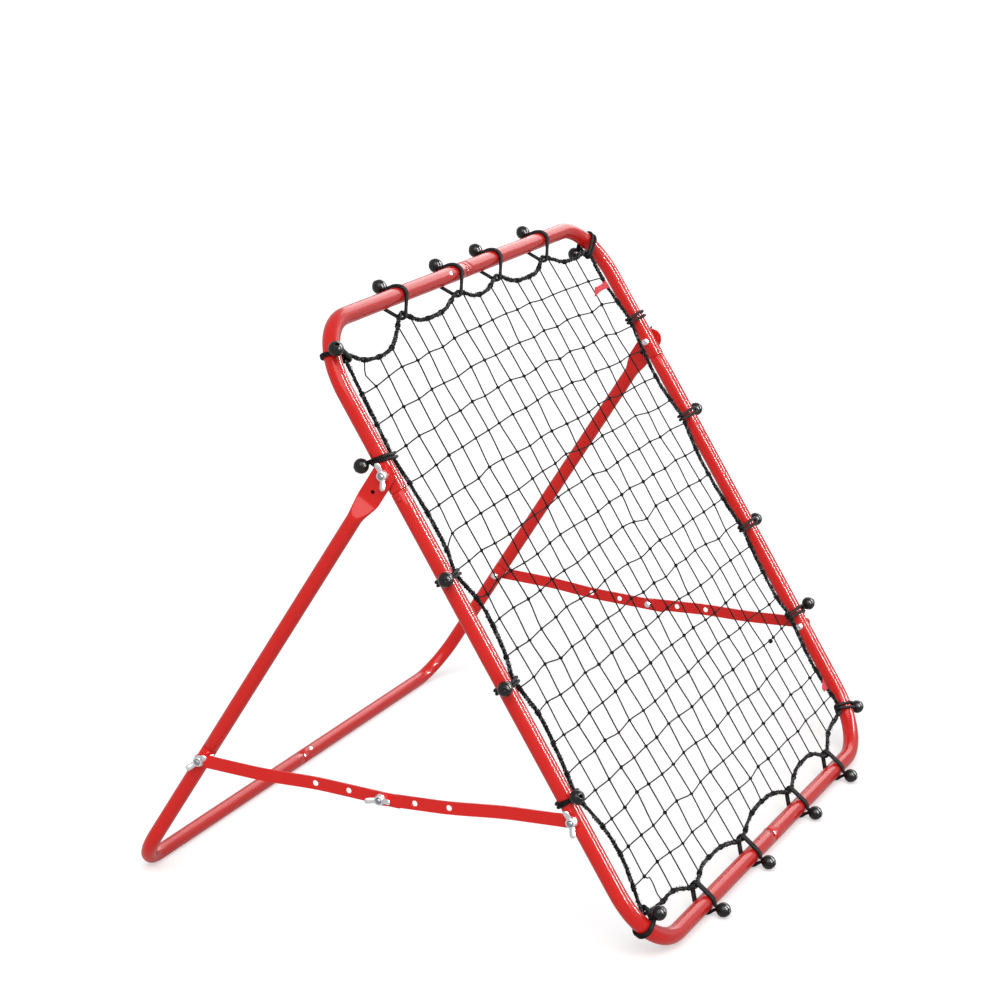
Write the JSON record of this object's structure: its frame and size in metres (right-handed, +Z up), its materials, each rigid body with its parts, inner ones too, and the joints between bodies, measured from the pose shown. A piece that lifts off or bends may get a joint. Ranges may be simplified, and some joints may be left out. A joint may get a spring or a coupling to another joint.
{
  "type": "rebound net",
  "caption": "Folding rebound net: a square net hung on ball bungees in a tilted red tube frame, held by a hinged rear stand with strap links and wing nuts.",
  "frame": {"origin": "on the floor, in the middle of the object's width and depth, as set up for use", "axes": "+X across the net to the right for someone who faces it from the player's side, +Y away from the player towards the rear stand, +Z up"},
  "size_m": [1.0804, 0.8514, 0.866],
  "materials": {
    "red_paint": "glossy powder coat",
    "zinc": "zinc plated",
    "black_twine": "knotted and twisted fibre",
    "black_bungee": "moulded ball on elastic cord",
    "red_ribbon": "woven ribbon"
  },
  "bodies": {
    "net_frame": {"ball_bungee_bottom_1": "black_bungee", "ball_bungee_bottom_2": "black_bungee", "ball_bungee_bottom_3": "black_bungee", "ball_bungee_bottom_4": "black_bungee", "ball_bungee_corner_bottom_left": "black_bungee", "ball_bungee_corner_bottom_right": "black_bungee", "ball_bungee_corner_top_left": "black_bungee", "ball_bungee_corner_top_right": "black_bungee", "ball_bungee_left_1": "black_bungee", "ball_bungee_left_2": "black_bungee", "ball_bungee_left_3": "black_bungee", "ball_bungee_left_4": "black_bungee", "ball_bungee_right_1": "black_bungee", "ball_bungee_right_2": "black_bungee", "ball_bungee_right_3": "black_bungee", "ball_bungee_right_4": "black_bungee", "ball_bungee_top_1": "black_bungee", "ball_bungee_top_2": "black_bungee", "ball_bungee_top_3": "black_bungee", "ball_bungee_top_4": "black_bungee", "frame_link_bolt_left": "zinc", "frame_link_bolt_right": "zinc", "net": "black_twine", "net_border_rope": "black_twine", "net_frame_lower_left": "red_paint", "net_frame_lower_right": "red_paint", "net_frame_upper_left": "red_paint", "net_frame_upper_right": "red_paint", "net_marker_tab": "red_ribbon", "pivot_bolt_left": "zinc", "pivot_bolt_right": "zinc"},
    "stand": {"leg_link_bolt_left": "zinc", "leg_link_bolt_right": "zinc", "rear_base_left": "red_paint", "rear_base_right": "red_paint", "rear_leg_left": "red_paint", "rear_leg_right": "red_paint"},
    "rear_link_left": {"rear_link_left": "red_paint", "mid_bolt_left": "zinc"},
    "front_link_left": {"front_link_left": "red_paint", "mid_stud_left": "zinc"},
    "rear_link_right": {"rear_link_right": "red_paint", "mid_bolt_right": "zinc"},
    "front_link_right": {"front_link_right": "red_paint", "mid_stud_right": "zinc"},
    "frame_link_wing_nut_left": {"frame_link_wing_nut_left": "zinc"},
    "frame_link_wing_nut_right": {"frame_link_wing_nut_right": "zinc"},
    "leg_link_wing_nut_left": {"leg_link_wing_nut_left": "zinc"},
    "leg_link_wing_nut_right": {"leg_link_wing_nut_right": "zinc"},
    "mid_wing_nut_left": {"mid_wing_nut_left": "zinc"},
    "mid_wing_nut_right": {"mid_wing_nut_right": "zinc"},
    "pivot_wing_nut_left": {"pivot_wing_nut_left": "zinc"},
    "pivot_wing_nut_right": {"pivot_wing_nut_right": "zinc"},
    "snap_button_base": {"snap_button_base": "zinc"},
    "snap_button_bottom": {"snap_button_bottom": "zinc"},
    "snap_button_leg_left": {"snap_button_leg_left": "zinc"},
    "snap_button_leg_right": {"snap_button_leg_right": "zinc"},
    "snap_button_side_left": {"snap_button_side_left": "zinc"},
    "snap_button_side_right": {"snap_button_side_right": "zinc"},
    "snap_button_top": {"snap_button_top": "zinc"}
  },
  "joints": [
    {"name": "stand_fold", "type": "hinge", "parent": "net_frame", "child": "stand", "pos_m": [0, 0.01978, 0.65293], "axis": [-1, 0, 0], "range_deg": [0, 54.2]},
    {"name": "rear_link_fold_left", "type": "hinge", "parent": "stand", "child": "rear_link_left", "pos_m": [-0.5241, 0.2968, 0.20264], "axis": [1, 0, 0], "range_deg": [0, 109.4]},
    {"name": "front_link_fold_left", "type": "hinge", "parent": "net_frame", "child": "front_link_left", "pos_m": [-0.5003, -0.26927, 0.20095], "axis": [-1, 0, 0], "range_deg": [0, 101.2]},
    {"name": "rear_link_fold_right", "type": "hinge", "parent": "stand", "child": "rear_link_right", "pos_m": [0.5241, 0.2968, 0.20264], "axis": [1, 0, 0], "range_deg": [0, 109.4]},
    {"name": "front_link_fold_right", "type": "hinge", "parent": "net_frame", "child": "front_link_right", "pos_m": [0.5003, -0.26927, 0.20095], "axis": [-1, 0, 0], "range_deg": [0, 101.2]},
    {"name": "pivot_nut_turn_left", "type": "hinge", "parent": "net_frame", "child": "pivot_wing_nut_left", "pos_m": [-0.5051, 0.01978, 0.65293], "axis": [-1, 0, 0], "continuous": true},
    {"name": "pivot_nut_turn_right", "type": "hinge", "parent": "net_frame", "child": "pivot_wing_nut_right", "pos_m": [0.5051, 0.01978, 0.65293], "axis": [1, 0, 0], "continuous": true},
    {"name": "frame_link_nut_turn_left", "type": "hinge", "parent": "net_frame", "child": "frame_link_wing_nut_left", "pos_m": [-0.5031, -0.26927, 0.20095], "axis": [-1, 0, 0], "continuous": true},
    {"name": "frame_link_nut_turn_right", "type": "hinge", "parent": "net_frame", "child": "frame_link_wing_nut_right", "pos_m": [0.5031, -0.26927, 0.20095], "axis": [1, 0, 0], "continuous": true},
    {"name": "leg_link_nut_turn_left", "type": "hinge", "parent": "stand", "child": "leg_link_wing_nut_left", "pos_m": [-0.5269, 0.2968, 0.20264], "axis": [-1, 0, 0], "continuous": true},
    {"name": "leg_link_nut_turn_right", "type": "hinge", "parent": "stand", "child": "leg_link_wing_nut_right", "pos_m": [0.5269, 0.2968, 0.20264], "axis": [1, 0, 0], "continuous": true},
    {"name": "mid_nut_turn_left", "type": "hinge", "parent": "front_link_left", "child": "mid_wing_nut_left", "pos_m": [-0.5164, 0.0138, 0.18944], "axis": [-1, 0, 0], "continuous": true},
    {"name": "mid_nut_turn_right", "type": "hinge", "parent": "front_link_right", "child": "mid_wing_nut_right", "pos_m": [0.5164, 0.0138, 0.18944], "axis": [1, 0, 0], "continuous": true},
    {"name": "press_top", "type": "slide", "parent": "net_frame", "child": "snap_button_top", "axis": [0, 0.8425, -0.5388], "range_m": [0, 0.0031], "stiffness_N_per_m": 600, "springref_m": -0.001},
    {"name": "press_bottom", "type": "slide", "parent": "net_frame", "child": "snap_button_bottom", "axis": [0, -0.8878, -0.4602], "range_m": [0, 0.0031], "stiffness_N_per_m": 600, "springref_m": -0.001},
    {"name": "press_base", "type": "slide", "parent": "stand", "child": "snap_button_base", "axis": [0, 0.5, -0.866], "range_m": [0, 0.0031], "stiffness_N_per_m": 600, "springref_m": -0.001},
    {"name": "press_side_left", "type": "slide", "parent": "net_frame", "child": "snap_button_side_left", "axis": [1, 0, 0], "range_m": [0, 0.0031], "stiffness_N_per_m": 600, "springref_m": -0.001},
    {"name": "press_leg_left", "type": "slide", "parent": "stand", "child": "snap_button_leg_left", "axis": [0.5, 0.7376, 0.4538], "range_m": [0, 0.0031], "stiffness_N_per_m": 600, "springref_m": -0.001},
    {"name": "press_side_right", "type": "slide", "parent": "net_frame", "child": "snap_button_side_right", "axis": [-1, 0, 0], "range_m": [0, 0.0031], "stiffness_N_per_m": 600, "springref_m": -0.001},
    {"name": "press_leg_right", "type": "slide", "parent": "stand", "child": "snap_button_leg_right", "axis": [-0.5, 0.7376, 0.4538], "range_m": [0, 0.0031], "stiffness_N_per_m": 600, "springref_m": -0.001}
  ],
  "couplings": [
    {"joint": "rear_link_fold_left", "follows": "stand_fold", "ratio": 2.0159},
    {"joint": "front_link_fold_left", "follows": "stand_fold", "ratio": 1.8636},
    {"joint": "rear_link_fold_right", "follows": "stand_fold", "ratio": 2.0159},
    {"joint": "front_link_fold_right", "follows": "stand_fold", "ratio": 1.8636}
  ]
}
